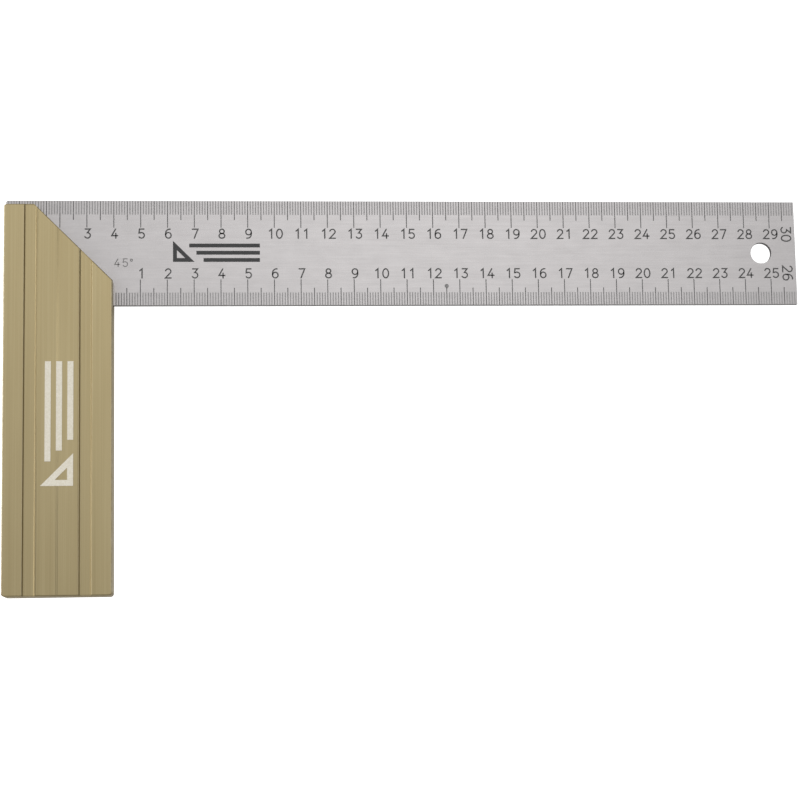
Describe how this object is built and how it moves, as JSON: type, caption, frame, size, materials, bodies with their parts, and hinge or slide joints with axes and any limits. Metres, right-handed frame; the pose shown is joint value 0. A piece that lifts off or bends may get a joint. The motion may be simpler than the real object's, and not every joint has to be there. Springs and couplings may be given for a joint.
{
  "type": "try square",
  "caption": "Rigid L-shaped square: a long graduated steel blade with a hanging hole, set at a right angle into the slotted, mitred head of a thicker aluminium stock.",
  "frame": {"origin": "middle of the whole outline in X and Y, on the stock's back face in Z", "axes": "+X along the blade to its free end, +Y up the stock to the blade's outer edge, +Z out of the front face that carries the graduations"},
  "size_m": [0.3, 0.1478, 0.014],
  "materials": {
    "anodised_aluminium": "drawn bar, satin champagne anodising, fine lengthwise lines",
    "stainless_steel": "satin, ground lengthwise",
    "pin_steel": "ground dowel pin",
    "graduation_marks": "etched and blackened graduation lines and figures"
  },
  "bodies": {
    "root": {"stock": "anodised_aluminium", "blade": "stainless_steel", "dowel_pins": "pin_steel"}
  },
  "joints": []
}
